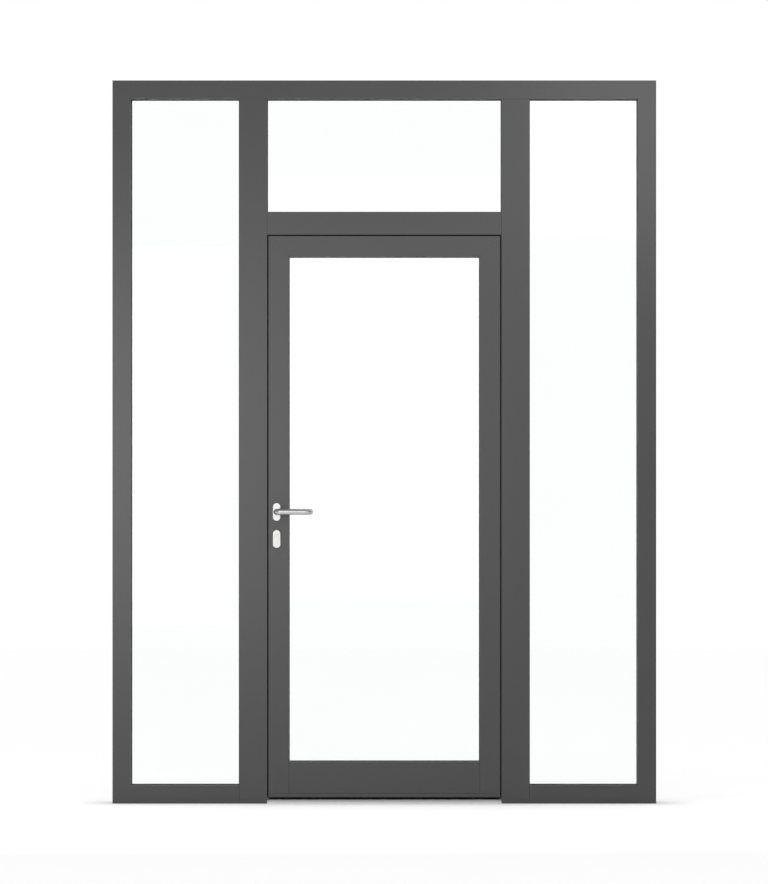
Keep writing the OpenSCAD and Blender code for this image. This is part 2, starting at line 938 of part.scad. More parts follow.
module leaf_corner_cleats() {
    u1 = leaf_face - rebate - wall - seat;
    color(steel) both_sides() {
        front_shape(wall + seat, break_front - wall - seat)
            translate([-leaf_w / 2, leaf_top]) mirror([0, 1]) cleat(wall + seat, u1, cleat_len);
        front_shape(break_back + wall + seat, depth - wall - seat)
            translate([-leaf_w / 2, leaf_top]) mirror([0, 1])
                cleat(groove_t + wall + seat - rebate, u1, cleat_len);
    }
}

module leaf_joint_connectors() {
    color(steel) both_sides() {
        mirror([1, 0, 0]) connector_x(stile_in + rebate, carrier_top, rail_top - rebate);
    }
}

module leaf_front_pane() {
    pane(-stile_in, stile_in, rail_top, top_rail_z, break_front);
}

module leaf_back_pane() {
    pane(-stile_in, stile_in, rail_top, top_rail_z, glass_back - pane_t);
}

module leaf_spacer() {
    spacer(-stile_in, stile_in, rail_top, top_rail_z);
}

module leaf_beads() {
    beads(-stile_in, stile_in, rail_top, top_rail_z);
}

module leaf_gaskets() {
    gaskets(-stile_in, stile_in, rail_top, top_rail_z);
}

module leaf_setting_blocks() {
    setting_blocks(-stile_in, stile_in, rail_top);
}

// Channel under the leaf with two slots for the brushes and a shadow line along its front
module carrier_section() {
    difference() {
        rect(0, depth, 0, carrier_h);
        rect(wall, depth - wall, wall, carrier_h - wall);
        for (d = brush_d) rect(d - brush_slot / 2, d + brush_slot / 2, -past, wall + past);
        rect(-past, wall, carrier_h - carrier_line, carrier_h + past);
    }
}

// The carrier is as wide as the leaf: its face in front, and its overlap behind
module bottom_seal_carrier() {
    color(anthracite) difference() {
        translate([-leaf_edge, at(0), carrier_z]) rotate([90, 0, 90]) linear_extrude(2 * leaf_edge)
            carrier_section();
        both_sides() box(leaf_w / 2, leaf_edge + past, -past, leaf_step, carrier_z - past, carrier_top + past);
    }
}

// The front brush fits between the mullions' faces, and the back one is as wide as the overlap
module bottom_brushes() {
    ends = [leaf_w / 2 - brush_short, leaf_edge - brush_short];
    color(black) for (i = [0, 1]) {
        d = brush_d[i];
        box(-ends[i], ends[i], d - brush_slot / 2, d + brush_slot / 2, threshold_h + seat, carrier_z + wall);
        box(-ends[i], ends[i], d - brush_foot_w / 2, d + brush_foot_w / 2,
            carrier_z + wall, carrier_z + wall + brush_foot_h);
    }
}

// Lock

// Outline of the cylinder, grown by a clearance
module cylinder_outline(grow) {
    lobe_r = 5;
    translate([spindle_x, cylinder_z]) {
        circle(r = cylinder_r + grow);
        translate([-lobe_r - grow, -cylinder_low + lobe_r])
            square([2 * (lobe_r + grow), cylinder_low - lobe_r]);
        translate([0, -cylinder_low + lobe_r]) circle(r = lobe_r + grow);
    }
}

// Mouths of the latch and the dead bolt, from x0 to x1
module bolt_holes(x0, x1) {
    for (hole = [[latch_z, latch_h], [bolt_z, bolt_h]]) {
        half_t = bolt_t / 2 + seat;
        half_h = hole[1] / 2 + seat;
        box(x0, x1, groove_mid - half_t, groove_mid + half_t, hole[0] - half_h, hole[0] + half_h);
    }
}

module lock_case() {
    d0 = groove_mid - case_t / 2;
    d1 = groove_mid + case_t / 2;
    color(steel) difference() {
        box(case_x0, case_x1, d0, d1, case_z0, case_z1);
        box(case_x0 + case_wall, case_x1 - case_wall, d0 + case_wall, d1 - case_wall,
            case_z0 + case_wall, case_z1 - case_wall);
        rod(spindle_x, spindle_z, hub_r + run, d0 - 1, d1 + 1);
        front_shape(d0 - 1, d1 + 1) cylinder_outline(0.5);
        bolt_holes(case_x0 - 1, case_x0 + case_wall + 1);
        rod_x(groove_mid, cylinder_screw_z, screw_r + 0.6, case_x0 - 1, case_x0 + case_wall + 1);
    }
}

module lock_faceplate() {
    z0 = face_plate_z - faceplate_h / 2;
    color(steel) difference() {
        box(-leaf_edge, case_x0, groove_d0 + seat, groove_d1 - seat, z0, z0 + faceplate_h);
        bolt_holes(-leaf_edge - 1, case_x0 + 1);
        for (z = face_screw_zs) screw_x(groove_mid, z, case_x0 + 4, -leaf_edge);
        screw_x(groove_mid, cylinder_screw_z, case_x0 + 4, -leaf_edge);
    }
}

// Cylinder body with the bore of the plug and the slot of the cam
module cylinder_body() {
    d0 = groove_mid - cylinder_front;
    d1 = groove_mid + cylinder_back;
    color(steel) difference() {
        front_shape(d0, d1) cylinder_outline(0);
        rod(spindle_x, cylinder_z, plug_r + run, d0 - 1, d1 + 1);
        rod(spindle_x, cylinder_z, cam_r + 0.5, groove_mid - cam_w / 2 - 0.2, groove_mid + cam_w / 2 + 0.2);
        rod_x(groove_mid, cylinder_screw_z, screw_r, case_x0, spindle_x + 8);
    }
}

module cylinder_plug() {
    d0 = groove_mid - cylinder_front + 0.5;
    d1 = groove_mid + cylinder_back - 0.5;
    key_w = 1.8;
    key_h = 9;
    key_depth = 20;
    color(steel) difference() {
        union() {
            rod(spindle_x, cylinder_z, plug_r, d0, d1);
            intersection() {
                rod(spindle_x, cylinder_z, cam_r, groove_mid - cam_w / 2, groove_mid + cam_w / 2);
                box(spindle_x, spindle_x + cam_r, groove_mid - cam_w / 2, groove_mid + cam_w / 2,
                    cylinder_z - 4, cylinder_z + 4);
            }
        }
        for (d = [[d0 - 1, d0 + key_depth], [d1 - key_depth, d1 + 1]]) {
            box(spindle_x - key_w / 2, spindle_x + key_w / 2, d[0], d[1],
                cylinder_z - 3, cylinder_z - 3 + key_h);
        }
    }
}

// Follower turned by the spindle, with the arm that draws the latch
module lock_follower() {
    d0 = groove_mid - case_t / 2;
    inner = case_t / 2 - case_wall - 0.2;
    arm_t = bolt_t / 2 - 0.5;
    color(steel) difference() {
        union() {
            rod(spindle_x, spindle_z, hub_r, d0, d0 + case_t);
            rod(spindle_x, spindle_z, hub_disc_r, groove_mid - inner, groove_mid + inner);
            front_shape(groove_mid - arm_t, groove_mid + arm_t) translate([spindle_x, spindle_z])
                rotate([0, 0, arm_half]) {
                    translate([-arm_tip_r + 1, 0]) square([2 * arm_tip_r - 2, arm_r]);
                    translate([0, arm_r]) circle(r = arm_tip_r);
                }
        }
        box(spindle_x - spindle_w / 2, spindle_x + spindle_w / 2, d0 - 1, d0 + case_t + 1,
            spindle_z - spindle_w / 2, spindle_z + spindle_w / 2);
    }
}

// Latch bolt: bevelled head, flat tail and the lug that the follower's arm pushes
module latch_bolt() {
    tip = -leaf_edge - latch_out;
    head_end = -leaf_edge + latch_travel + 2;
    d0 = groove_mid - bolt_t / 2;
    d1 = groove_mid + bolt_t / 2;
    lug_x = spindle_x - arm_r * sin(arm_half) + arm_tip_r + seat;
    lug_t = 4;
    tail_z = latch_z - 7;
    color(steel) {
        translate([0, 0, latch_z - latch_h / 2]) linear_extrude(latch_h) polygon([
            [head_end, at(d0)], [-leaf_edge - 1, at(d0)], [tip, at(d1 - 3)], [tip, at(d1)], [head_end, at(d1)]
        ]);
        box(head_end - 1, lug_x + lug_t, groove_mid - 3, groove_mid + 3, tail_z, latch_z + 7);
        box(lug_x, lug_x + lug_t, groove_mid - 3, groove_mid + 3,
            spindle_z + arm_r * cos(arm_half) - 2, tail_z + 1);
    }
}

module dead_bolt() {
    x0 = -leaf_edge + 0.2;
    color(steel) {
        box(x0, spindle_x + 2, groove_mid - bolt_t / 2, groove_mid + bolt_t / 2,
            bolt_z - bolt_h / 2, bolt_z + bolt_h / 2);
        box(spindle_x - 8, spindle_x, groove_mid - 3, groove_mid + 3,
            cylinder_z + cam_r + 1, bolt_z - bolt_h / 2 + 1);
    }
}

// Roses, levers and spindle

module oval(w, h) {
    square([w, h - w], center = true);
    for (s = [-1, 1]) translate([0, s * (h - w) / 2]) circle(d = w);
}

// Oval plate on the front of the leaf, centred at x and z, with a step in its rim
module oval_plate(z) {
    rim = 2;
    translate([spindle_x, 0, z]) {
        front_shape(-rose_t + rim, 0) oval(rose_w, rose_h);
        front_shape(-rose_t, -rose_t + rim) oval(rose_w - 2 * rim, rose_h - 2 * rim);
        for (s = [-1, 1]) {
            translate([0, at(-rose_t + rim), s * (rose_h - rose_w) / 2]) rotate([90, 0, 0])
                cylinder(r1 = rose_w / 2, r2 = rose_w / 2 - rim, h = rim);
        }
        translate([0, at(-rose_t + rim), 0]) mirror([0, 1, 0]) translate([0, 0, -(rose_h - rose_w) / 2])
            linear_extrude(rose_h - rose_w) polygon([
                [-rose_w / 2, 0], [rose_w / 2, 0], [rose_w / 2 - rim, rim], [rim - rose_w / 2, rim]
            ]);
    }
}

module rose_screw_pockets(z) {
    for (s = [-rose_screw_z, rose_screw_z]) rod(spindle_x, z + s, 2 * screw_r + seat, -rose_t + 2.5, 1);
}

// Front and back together, the back one a mirror image about the middle of the leaf
module front_and_back() {
    children();
    mirror([0, 1, 0]) children();
}

module lever_roses() {
    color(steel) front_and_back() difference() {
        oval_plate(spindle_z);
        rod(spindle_x, spindle_z, lever_d / 2 + run, -rose_t - 1, 1);
        rose_screw_pockets(spindle_z);
    }
}

module key_escutcheons() {
    color(steel) front_and_back() difference() {
        oval_plate(key_rose_z);
        front_shape(-rose_t - 1, 1) cylinder_outline(seat);
        rose_screw_pockets(key_rose_z);
    }
}

// Lever of one round bar: neck, bend, grip, bend back to the leaf
module lever_front() {
    grip = lever_out - lever_d / 2;
    straight = lever_len - lever_d - 2 * lever_bend;
    bend_y = -(grip - lever_bend);
    stub = 16;
    color(steel) translate([spindle_x, at(0), spindle_z]) {
        difference() {
            translate([0, bend_y, 0]) rotate([-90, 0, 0]) cylinder(d = lever_d, h = -bend_y);
            translate([-spindle_w / 2, -spindle_grip, -spindle_w / 2])
                cube([spindle_w, spindle_grip + 1, spindle_w]);
        }
        translate([lever_bend, bend_y, 0]) rotate([0, 0, 180]) bend();
        translate([lever_bend, -grip, 0]) rotate([0, 90, 0]) cylinder(d = lever_d, h = straight);
        translate([lever_bend + straight, bend_y, 0]) rotate([0, 0, 270]) bend();
        translate([2 * lever_bend + straight, bend_y, 0]) rotate([-90, 0, 0]) {
            cylinder(d = lever_d, h = stub - 1);
            translate([0, 0, stub - 1]) cylinder(r1 = lever_d / 2, r2 = lever_d / 2 - 1, h = 1);
        }
    }
}

module bend() {
    rotate_extrude(angle = 90) translate([lever_bend, 0]) circle(d = lever_d);
}

module lever_back() {
    mirror([0, 1, 0]) lever_front();
}

module spindle() {
    color(steel) box(spindle_x - spindle_w / 2, spindle_x + spindle_w / 2,
        -spindle_grip, depth + spindle_grip, spindle_z - spindle_w / 2, spindle_z + spindle_w / 2);
}

module leaf_screws() {
    color(steel) {
        hinge_screws(-1);
        for (z = face_screw_zs) screw_x(groove_mid, z, -leaf_edge + 16, -leaf_edge);
        screw_x(groove_mid, cylinder_screw_z, spindle_x + 6, -leaf_edge);
        front_and_back() for (z = [spindle_z, key_rose_z], s = [-rose_screw_z, rose_screw_z]) {
            rod(spindle_x, z + s, screw_r, 0, rose_screw_len);
            rod(spindle_x, z + s, 2 * screw_r, -2, 0);
        }
    }
}

jamb_left();
jamb_right();
head();
sill_left();
sill_right();
mullion_left();
mullion_right();
transom();
threshold();
frame_thermal_breaks();
frame_corner_cleats();
frame_joint_connectors();
sidelight_left_front_pane();
sidelight_left_back_pane();
sidelight_left_spacer();
sidelight_right_front_pane();
sidelight_right_back_pane();
sidelight_right_spacer();
transom_light_front_pane();
transom_light_back_pane();
transom_light_spacer();
sidelight_beads();
transom_light_beads();
sidelight_gaskets();
transom_light_gaskets();
frame_setting_blocks();
door_stop_seal();
strike_plate();
frame_screws();
hinge_frame_wings();
hinge_pins();
lock_stile();
hinge_stile();
leaf_top_rail();
leaf_bottom_rail();
leaf_thermal_breaks();
leaf_corner_cleats();
leaf_joint_connectors();
leaf_front_pane();
leaf_back_pane();
leaf_spacer();
leaf_beads();
leaf_gaskets();
leaf_setting_blocks();
bottom_seal_carrier();
bottom_brushes();
hinge_leaf_wings();
lock_case();
lock_faceplate();
cylinder_body();
lever_roses();
key_escutcheons();
leaf_screws();
lever_front();
lever_back();
spindle();
lock_follower();
latch_bolt();
dead_bolt();
cylinder_plug();
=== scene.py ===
"""Glazed aluminium door element with its frame: finishes, seals, fittings and studio."""

import math

import bmesh
import bpy
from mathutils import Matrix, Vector


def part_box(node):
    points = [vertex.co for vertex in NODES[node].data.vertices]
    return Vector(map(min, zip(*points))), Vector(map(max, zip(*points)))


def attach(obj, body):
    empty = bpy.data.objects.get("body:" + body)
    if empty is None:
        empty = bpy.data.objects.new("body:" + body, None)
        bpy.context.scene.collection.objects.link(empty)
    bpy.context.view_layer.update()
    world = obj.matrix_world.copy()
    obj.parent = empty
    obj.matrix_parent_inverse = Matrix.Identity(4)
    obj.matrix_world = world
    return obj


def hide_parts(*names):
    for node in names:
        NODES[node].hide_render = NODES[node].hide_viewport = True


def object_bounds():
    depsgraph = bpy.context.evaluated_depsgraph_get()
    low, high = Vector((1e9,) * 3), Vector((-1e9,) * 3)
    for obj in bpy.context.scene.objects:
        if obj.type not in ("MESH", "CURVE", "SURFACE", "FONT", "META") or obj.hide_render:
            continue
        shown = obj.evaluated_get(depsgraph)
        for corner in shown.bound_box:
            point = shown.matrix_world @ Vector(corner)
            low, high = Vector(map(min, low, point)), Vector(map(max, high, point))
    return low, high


bl_info = {
    "name": "Glazed door element",
    "version": (1, 0, 0),
    "blender": (4, 5, 0),
    "location": "3D View > Sidebar > Door",
    "description": "Dresses the packed door and frame with finishes, seals, screws and a studio",
    "category": "Object",
}

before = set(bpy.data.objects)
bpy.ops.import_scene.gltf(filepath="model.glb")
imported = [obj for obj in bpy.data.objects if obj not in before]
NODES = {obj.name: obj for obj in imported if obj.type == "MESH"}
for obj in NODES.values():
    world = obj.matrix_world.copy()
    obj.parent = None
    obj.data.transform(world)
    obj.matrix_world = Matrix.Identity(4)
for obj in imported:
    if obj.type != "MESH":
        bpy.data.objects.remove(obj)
CAD_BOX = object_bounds()
MM = 0.001
WHITE = (1.0, 1.0, 1.0, 1.0)
RANDOM_TURN = 6.28


# Sizes and colours that a user would change


class StudioSettings(bpy.types.PropertyGroup):
    """Camera, floor and light"""

    distance: bpy.props.FloatProperty(
        name="Camera distance", description="From the front of the frame", default=17.0, unit="LENGTH"
    )
    height: bpy.props.FloatProperty(
        name="Camera height", description="Above the floor", default=1.05, unit="LENGTH"
    )
    aside: bpy.props.FloatProperty(
        name="Camera offset", description="Sideways from the middle of the door", default=-1.2 * MM,
        unit="LENGTH",
    )
    centre: bpy.props.FloatProperty(
        name="Picture centre", description="Height of the door at the middle of the picture",
        default=1.33, unit="LENGTH",
    )
    lens: bpy.props.FloatProperty(
        name="Lens", description="Focal length in mm on a 36 mm sensor", default=188.22
    )
    floor_size: bpy.props.FloatProperty(
        name="Floor size", description="Side of the square floor", default=40.0, unit="LENGTH"
    )
    ambient: bpy.props.FloatProperty(
        name="Ambient level", description="Light of the studio on matt surfaces", default=0.95
    )
    floor_glow: bpy.props.FloatProperty(
        name="Floor glow", description="Share of the floor's white that takes no shadow", default=0.13
    )
    # Reach of the painted contact shade: closer to the door than this, the floor's glow is held back
    # and the floor is painted darker
    painted_shade_reach: bpy.props.FloatProperty(
        name="Contact shadow", description="Distance from the door at which the floor glows in full",
        default=0.16, unit="LENGTH",
    )


class FinishSettings(bpy.types.PropertyGroup):
    """Colours of the door's finishes"""

    paint: bpy.props.FloatVectorProperty(
        name="Powder coat", description="Colour of the coated profiles", subtype="COLOR", size=3,
        default=(0.038, 0.038, 0.038),
    )
    aluminium: bpy.props.FloatVectorProperty(
        name="Aluminium", description="Colour of the bare threshold", subtype="COLOR", size=3,
        default=(0.56, 0.56, 0.56),
    )
    steel: bpy.props.FloatVectorProperty(
        name="Handle steel", description="Colour of the satin handle", subtype="COLOR", size=3,
        default=(0.465, 0.465, 0.46),
    )
    plated: bpy.props.FloatVectorProperty(
        name="Lock plating", description="Colour of lock parts and screws", subtype="COLOR", size=3,
        default=(0.56, 0.56, 0.55),
    )
    nickel: bpy.props.FloatVectorProperty(
        name="Cylinder plating", description="Colour of the lock cylinder", subtype="COLOR", size=3,
        default=(0.44, 0.435, 0.425),
    )
    glass: bpy.props.FloatVectorProperty(
        name="Glass", description="Colour of the glass where it is least clear", subtype="COLOR",
        size=3, default=(0.985, 0.995, 0.99),
    )
    rubber: bpy.props.FloatVectorProperty(
        name="Rubber", description="Colour of gaskets and seals", subtype="COLOR", size=3,
        default=(0.012, 0.012, 0.013),
    )
    plastic: bpy.props.FloatVectorProperty(
        name="Plastic", description="Colour of the thermal breaks", subtype="COLOR", size=3,
        default=(0.02, 0.02, 0.02),
    )
    fibre: bpy.props.FloatVectorProperty(
        name="Brush fibre", description="Colour of the bottom brushes", subtype="COLOR", size=3,
        default=(0.009, 0.009, 0.01),
    )


class DetailSettings(bpy.types.PropertyGroup):
    """Sizes of seals, bristles and screws"""

    lip: bpy.props.FloatProperty(
        name="Gasket lip", description="How far the glazing gaskets show", default=2 * MM, unit="LENGTH"
    )
    gasket_width: bpy.props.FloatProperty(
        name="Gasket width", description="Part of a glazing gasket behind the flange", default=8 * MM,
        unit="LENGTH",
    )
    bite: bpy.props.FloatProperty(
        name="Glass bite", description="Edge of the glass past the visible opening", default=15 * MM,
        unit="LENGTH",
    )
    bristle_step: bpy.props.FloatProperty(
        name="Bristle spacing", description="Distance between bristles along a brush", default=0.6 * MM,
        unit="LENGTH",
    )
    bristle_radius: bpy.props.FloatProperty(
        name="Bristle radius", description="Radius of one bristle", default=0.28 * MM, unit="LENGTH"
    )
    screw_radius: bpy.props.FloatProperty(
        name="Screw radius", description="Radius of a screw's shank", default=2 * MM, unit="LENGTH"
    )


# Lamps that face the door straight on: name, middle, width, height and power
LAMPS = [
    ("left softbox", (-1.3, -2.6, 1.4), 1.3, 1.6, 20.0),
    ("middle softbox", (0.0, -2.6, 1.6), 1.0, 1.8, 6.5),
    ("upper right softbox", (1.15, -1.9, 2.75), 1.1, 1.1, 10.0),
]

# Soft shades of the white surroundings in glossy surfaces: direction, sharpness and depth
SHADES = [
    ((0.0, 0.0, 1.0), 1.6, 0.9),
    ((0.0, 1.0, 0.0), 1.5, 0.9),
    ((1.0, 0.0, 0.0), 1.5, 0.7),
    ((-1.0, 0.0, 0.0), 1.5, 0.7),
]
DARKEST_SHADE = 0.1


# Node trees


class Value:
    """A shader socket that can be used in arithmetic"""

    def __init__(self, shader, socket):
        self.shader = shader
        self.socket = socket

    def _math(self, operation, *values):
        return self.shader.node("ShaderNodeMath", {"operation": operation}, *values)

    def __add__(self, other):
        return self._math("ADD", self, other)

    __radd__ = __add__

    def __sub__(self, other):
        return self._math("SUBTRACT", self, other)

    def __rsub__(self, other):
        return self._math("SUBTRACT", other, self)

    def __mul__(self, other):
        return self._math("MULTIPLY", self, other)

    def __pow__(self, other):
        return self._math("POWER", self, other)

    def above(self, limit):
        return self._math("MAXIMUM", self, limit)

    def below(self, limit):
        return self._math("MINIMUM", self, limit)


class Tree:
    """Node tree that is built by calls"""

    def add(self, kind, settings, inputs, named):
        """Adds a node: settings first, then inputs by place and by name, None leaving one as it is"""
        made = self.tree.nodes.new(kind)
        for name, value in (settings or {}).items():
            setattr(made, name, value)
        by_name = [(name.replace("_", " "), value) for name, value in named.items()]
        for key, value in list(enumerate(inputs)) + by_name:
            if isinstance(value, Value):
                value = value.socket
            if isinstance(value, bpy.types.NodeSocket):
                self.tree.links.new(value, made.inputs[key])
            elif value is not None:
                made.inputs[key].default_value = value
        return made


class Shader(Tree):
    """Node tree of a material or a world"""

    def __init__(self, owner):
        owner.use_nodes = True
        self.tree = owner.node_tree
        self.tree.nodes.clear()

    def node(self, kind, settings=None, *inputs, output=0, **named):
        return Value(self, self.add(kind, settings, inputs, named).outputs[output])

    def ray(self, kind):
        """1 for rays of a kind, such as Glossy, else 0"""
        return self.node("ShaderNodeLightPath", output="Is " + kind + " Ray")

    def place(self, scale=(1.0, 1.0, 1.0)):
        """Object coordinates, stretched by scale"""
        coordinates = self.node("ShaderNodeTexCoord", output="Object")
        return self.node("ShaderNodeMapping", {}, coordinates, Scale=scale)

    def noise(self, vector, scale, detail=3.0, roughness=0.55):
        return self.node(
            "ShaderNodeTexNoise", {}, Vector=vector, Scale=scale, Detail=detail, Roughness=roughness
        )

    def between(self, factor, low, high):
        """Number from low to high as factor goes from 0 to 1"""
        return factor * (high - low) + low

    def tint(self, factor, dark, light):
        """Colour from dark to light as factor goes from 0 to 1"""
        other_kinds = [None] * 5
        ends = (*dark, 1.0), (*light, 1.0)
        return self.node("ShaderNodeMix", {"data_type": "RGBA"}, factor, *other_kinds, *ends, output=2)

    def toward(self, direction, aim):
        """Cosine of the angle between a direction and an aim of length 1, at least 0"""
        return self.node(
            "ShaderNodeVectorMath", {"operation": "DOT_PRODUCT"}, direction, aim, output="Value"
        ).above(0.0)

    def bump(self, height, strength, distance):
        return self.node("ShaderNodeBump", {}, Strength=strength, Distance=distance, Height=height)

    def principled(self, **sockets):
        return self.node("ShaderNodeBsdfPrincipled", {}, **sockets)

    def surface(self, shader, kind="ShaderNodeOutputMaterial"):
        self.add(kind, {}, (), {"Surface": shader})


class Growth(Tree):
    """Geometry node tree with named inputs"""

    def __init__(self, name, inputs):
        self.tree = bpy.data.node_groups.new(name, "GeometryNodeTree")
        face = self.tree.interface
        face.new_socket("Geometry", in_out="INPUT", socket_type="NodeSocketGeometry")
        for label, kind in inputs:
            face.new_socket(label, in_out="INPUT", socket_type=kind)
        face.new_socket("Geometry", in_out="OUTPUT", socket_type="NodeSocketGeometry")
        self.start = self.tree.nodes.new("NodeGroupInput")
        self.end = self.tree.nodes.new("NodeGroupOutput")

    def given(self, label):
        return self.start.outputs[label]

    def node(self, kind, settings=None, *inputs, output=0, **named):
        return self.add(kind, settings, inputs, named).outputs[output]

    def random(self, low, high):
        """Random vector for each point or instance"""
        return self.node(
            "FunctionNodeRandomValue", {"data_type": "FLOAT_VECTOR"}, low, high, Seed=self.given("Seed")
        )

    def close(self, geometry, material):
        real = self.node("GeometryNodeRealizeInstances", Geometry=geometry)
        done = self.node("GeometryNodeSetMaterial", Geometry=real, Material=material)
        self.tree.links.new(done, self.end.inputs["Geometry"])


# Finishes


def shade(colour, factor):
    """A colour made lighter or darker"""
    return tuple(min(1.0, c * factor) for c in colour)


def powder_coat(name, colour):
    """Satin powder coat: faint cloudiness, and the fine orange peel of the film"""
    s = Shader(bpy.data.materials.new(name))
    where = s.place()
    cloud = s.noise(where, scale=6.0, detail=2.0)
    grain = s.noise(where, scale=900.0, detail=2.0)
    peel = s.noise(where, scale=420.0, roughness=0.6)
    s.surface(s.principled(
        Base_Color=s.tint(cloud * 0.7 + grain * 0.3, shade(colour, 0.94), shade(colour, 1.06)),
        Roughness=s.between(cloud, 0.36, 0.42),
        Normal=s.bump(peel, strength=0.05, distance=0.3 * MM),
    ))


def drawn_metal(name, colour, grain, rough, spread, bump=0.12, metallic=1.0):
    """Metal with fine lines along the axis on which grain, the texture's scale, is small"""
    s = Shader(bpy.data.materials.new(name))
    lines = s.noise(s.place(grain), scale=1.0, detail=4.0, roughness=0.7)
    cloud = s.noise(s.place(), scale=30.0, detail=2.0)
    mixed = lines * 0.75 + cloud * 0.25
    s.surface(s.principled(
        Base_Color=s.tint(mixed, shade(colour, 0.9), shade(colour, 1.08)),
        Metallic=metallic,
        Roughness=s.between(mixed, rough - spread, rough + spread),
        Normal=s.bump(lines, strength=bump, distance=0.2 * MM),
    ))


def clear_glass(name, colour):
    """Float glass that lets the lamps through"""
    s = Shader(bpy.data.materials.new(name))
    smear = s.noise(s.place(), scale=3.0)
    glass = s.principled(
        Base_Color=s.tint(smear, colour, (0.995, 1.0, 0.997)),
        Roughness=0.0,
        IOR=1.2,
        Transmission_Weight=1.0,
    )
    passing = s.node("ShaderNodeBsdfTransparent", {}, Color=(0.96, 0.97, 0.965, 1.0))
    lamp = s.ray("Shadow") + s.ray("Diffuse")
    s.surface(s.node("ShaderNodeMixShader", {}, lamp.below(1.0), glass, passing))


def matt_black(name, colour, rough, skin, shine=0.5):
    """Rubber or plastic with a fine skin: skin is its texture's scale, shine its specular level"""
    s = Shader(bpy.data.materials.new(name))
    pores = s.noise(s.place(), scale=skin)
    dust = s.noise(s.place(), scale=60.0, detail=2.0)
    s.surface(s.principled(
        Base_Color=s.tint(dust, shade(colour, 0.8), shade(colour, 1.35)),
        Roughness=s.between(dust, rough - 0.06, rough + 0.06),
        Specular_IOR_Level=shine,
        Normal=s.bump(pores, strength=0.1, distance=0.2 * MM),
    ))


# Slot of the CAD parts: maker, colour among the settings, and looks
FINISHES = {
    "frame_paint": (powder_coat, "paint", {}),
    "leaf_paint": (powder_coat, "paint", {}),
    "bare_aluminium": (drawn_metal, "aluminium", {
        "grain": (2.0, 900.0, 900.0), "rough": 0.4, "spread": 0.08, "metallic": 0.4,
    }),
    "handle_steel": (drawn_metal, "steel", {
        "grain": (40.0, 1400.0, 1400.0), "rough": 0.25, "spread": 0.05, "bump": 0.06, "metallic": 0.8,
    }),
    "lock_steel": (drawn_metal, "plated", {
        "grain": (700.0, 700.0, 20.0), "rough": 0.32, "spread": 0.08,
    }),
    "cylinder_metal": (drawn_metal, "nickel", {
        "grain": (900.0, 60.0, 900.0), "rough": 0.3, "spread": 0.06,
    }),
    "screw_steel": (drawn_metal, "plated", {
        "grain": (900.0, 900.0, 900.0), "rough": 0.34, "spread": 0.08,
    }),
    "clear_glass": (clear_glass, "glass", {}),
    "gasket_rubber": (matt_black, "rubber", {"rough": 0.62, "skin": 1500.0, "shine": 0.2}),
    "polyamide": (matt_black, "plastic", {"rough": 0.55, "skin": 900.0}),
    "brush_fibre": (matt_black, "fibre", {"rough": 0.7, "skin": 3000.0, "shine": 0.1}),
}


def finish(slot):
    """The material of a slot, made at its first use"""
    label = "door " + slot
    if label not in bpy.data.materials:
        maker, colour, looks = FINISHES[slot]
        maker(label, tuple(getattr(bpy.context.scene.door_finish, colour)), **looks)
    return bpy.data.materials[label]


def coat(slot, *nodes):
    """Puts a slot's finish on CAD nodes"""
    material = finish(slot)
    for name in nodes:
        for place in NODES[name].material_slots:
            place.material = material
        if not NODES[name].material_slots:
            NODES[name].data.materials.append(material)


# Meshes


def mesh_piece(name, vertices, faces, slot, body, replaced=(), smooth=30.0):
    """Makes a piece from vertices and faces in metres, in place"""
    data = bpy.data.meshes.new(name)
    data.from_pydata([tuple(v) for v in vertices], [], faces)
    work = bmesh.new()
    work.from_mesh(data)
    bmesh.ops.remove_doubles(work, verts=work.verts, dist=1e-7)
    bmesh.ops.recalc_face_normals(work, faces=work.faces)
    work.to_mesh(data)
    work.free()
    piece = bpy.data.objects.new(name, data)
    bpy.context.scene.collection.objects.link(piece)
    dress(piece, slot, body, replaced, smooth)


def dress(piece, slot, body, replaced=(), smooth=30.0):
    """Gives a finished mesh its finish and its body, and hides the nodes that it stands for"""
    piece.data.materials.clear()
    piece.data.materials.append(finish(slot))
    if smooth:
        piece.data.shade_smooth()
        piece.data.set_sharp_from_angle(angle=math.radians(smooth))
    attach(piece, body)
    if replaced:
        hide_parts(*replaced)


def framed(profile, x0, x1, z0, z1, open_bottom=False):
    """Vertices and faces of a profile swept round a rectangle with mitred corners.

    profile is a closed list of (u, y), u pointing into the rectangle from its edge.
    """
    vertices = []
    for u, y in profile:
        foot = z0 if open_bottom else z0 + u
        vertices += [(x0 + u, y, foot), (x0 + u, y, z1 - u), (x1 - u, y, z1 - u), (x1 - u, y, foot)]
    count = len(profile)
    faces = []
    for i in range(count):
        j = (i + 1) % count
        for side in range(3 if open_bottom else 4):
            after = (side + 1) % 4
            faces.append((4 * i + side, 4 * i + after, 4 * j + after, 4 * j + side))
    if open_bottom:
        faces.append([4 * i for i in range(count)])
        faces.append([4 * i + 3 for i in reversed(range(count))])
    return vertices, faces


def join_parts(parts):
    """Vertices and faces of several parts as one"""
    vertices, faces = [], []
    for more_vertices, more_faces in parts:
        start = len(vertices)
        vertices += more_vertices
        faces += [tuple(start + i for i in face) for face in more_faces]
    return vertices, faces


def opening_of(pane):
    """Visible opening round a pane: its sides, foot and head"""
    bite = bpy.context.scene.door_detail.bite
    low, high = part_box(pane)
    return low.x + bite, high.x - bite, low.z + bite, high.z - bite


def islands(name):
    """Corners of each separate solid of a CAD node"""
    data = NODES[name].data
    keys = [tuple(round(c, 6) for c in vertex.co) for vertex in data.vertices]
    leader = {key: key for key in keys}

    def first_of(key):
        while leader[key] != key:
            leader[key] = leader[leader[key]]
            key = leader[key]
        return key

    for polygon in data.polygons:
        first = first_of(keys[polygon.vertices[0]])
        for i in polygon.vertices:
            leader[first_of(keys[i])] = first
    groups = {}
    for key in leader:
        groups.setdefault(first_of(key), []).append(Vector(key))
    return list(groups.values())


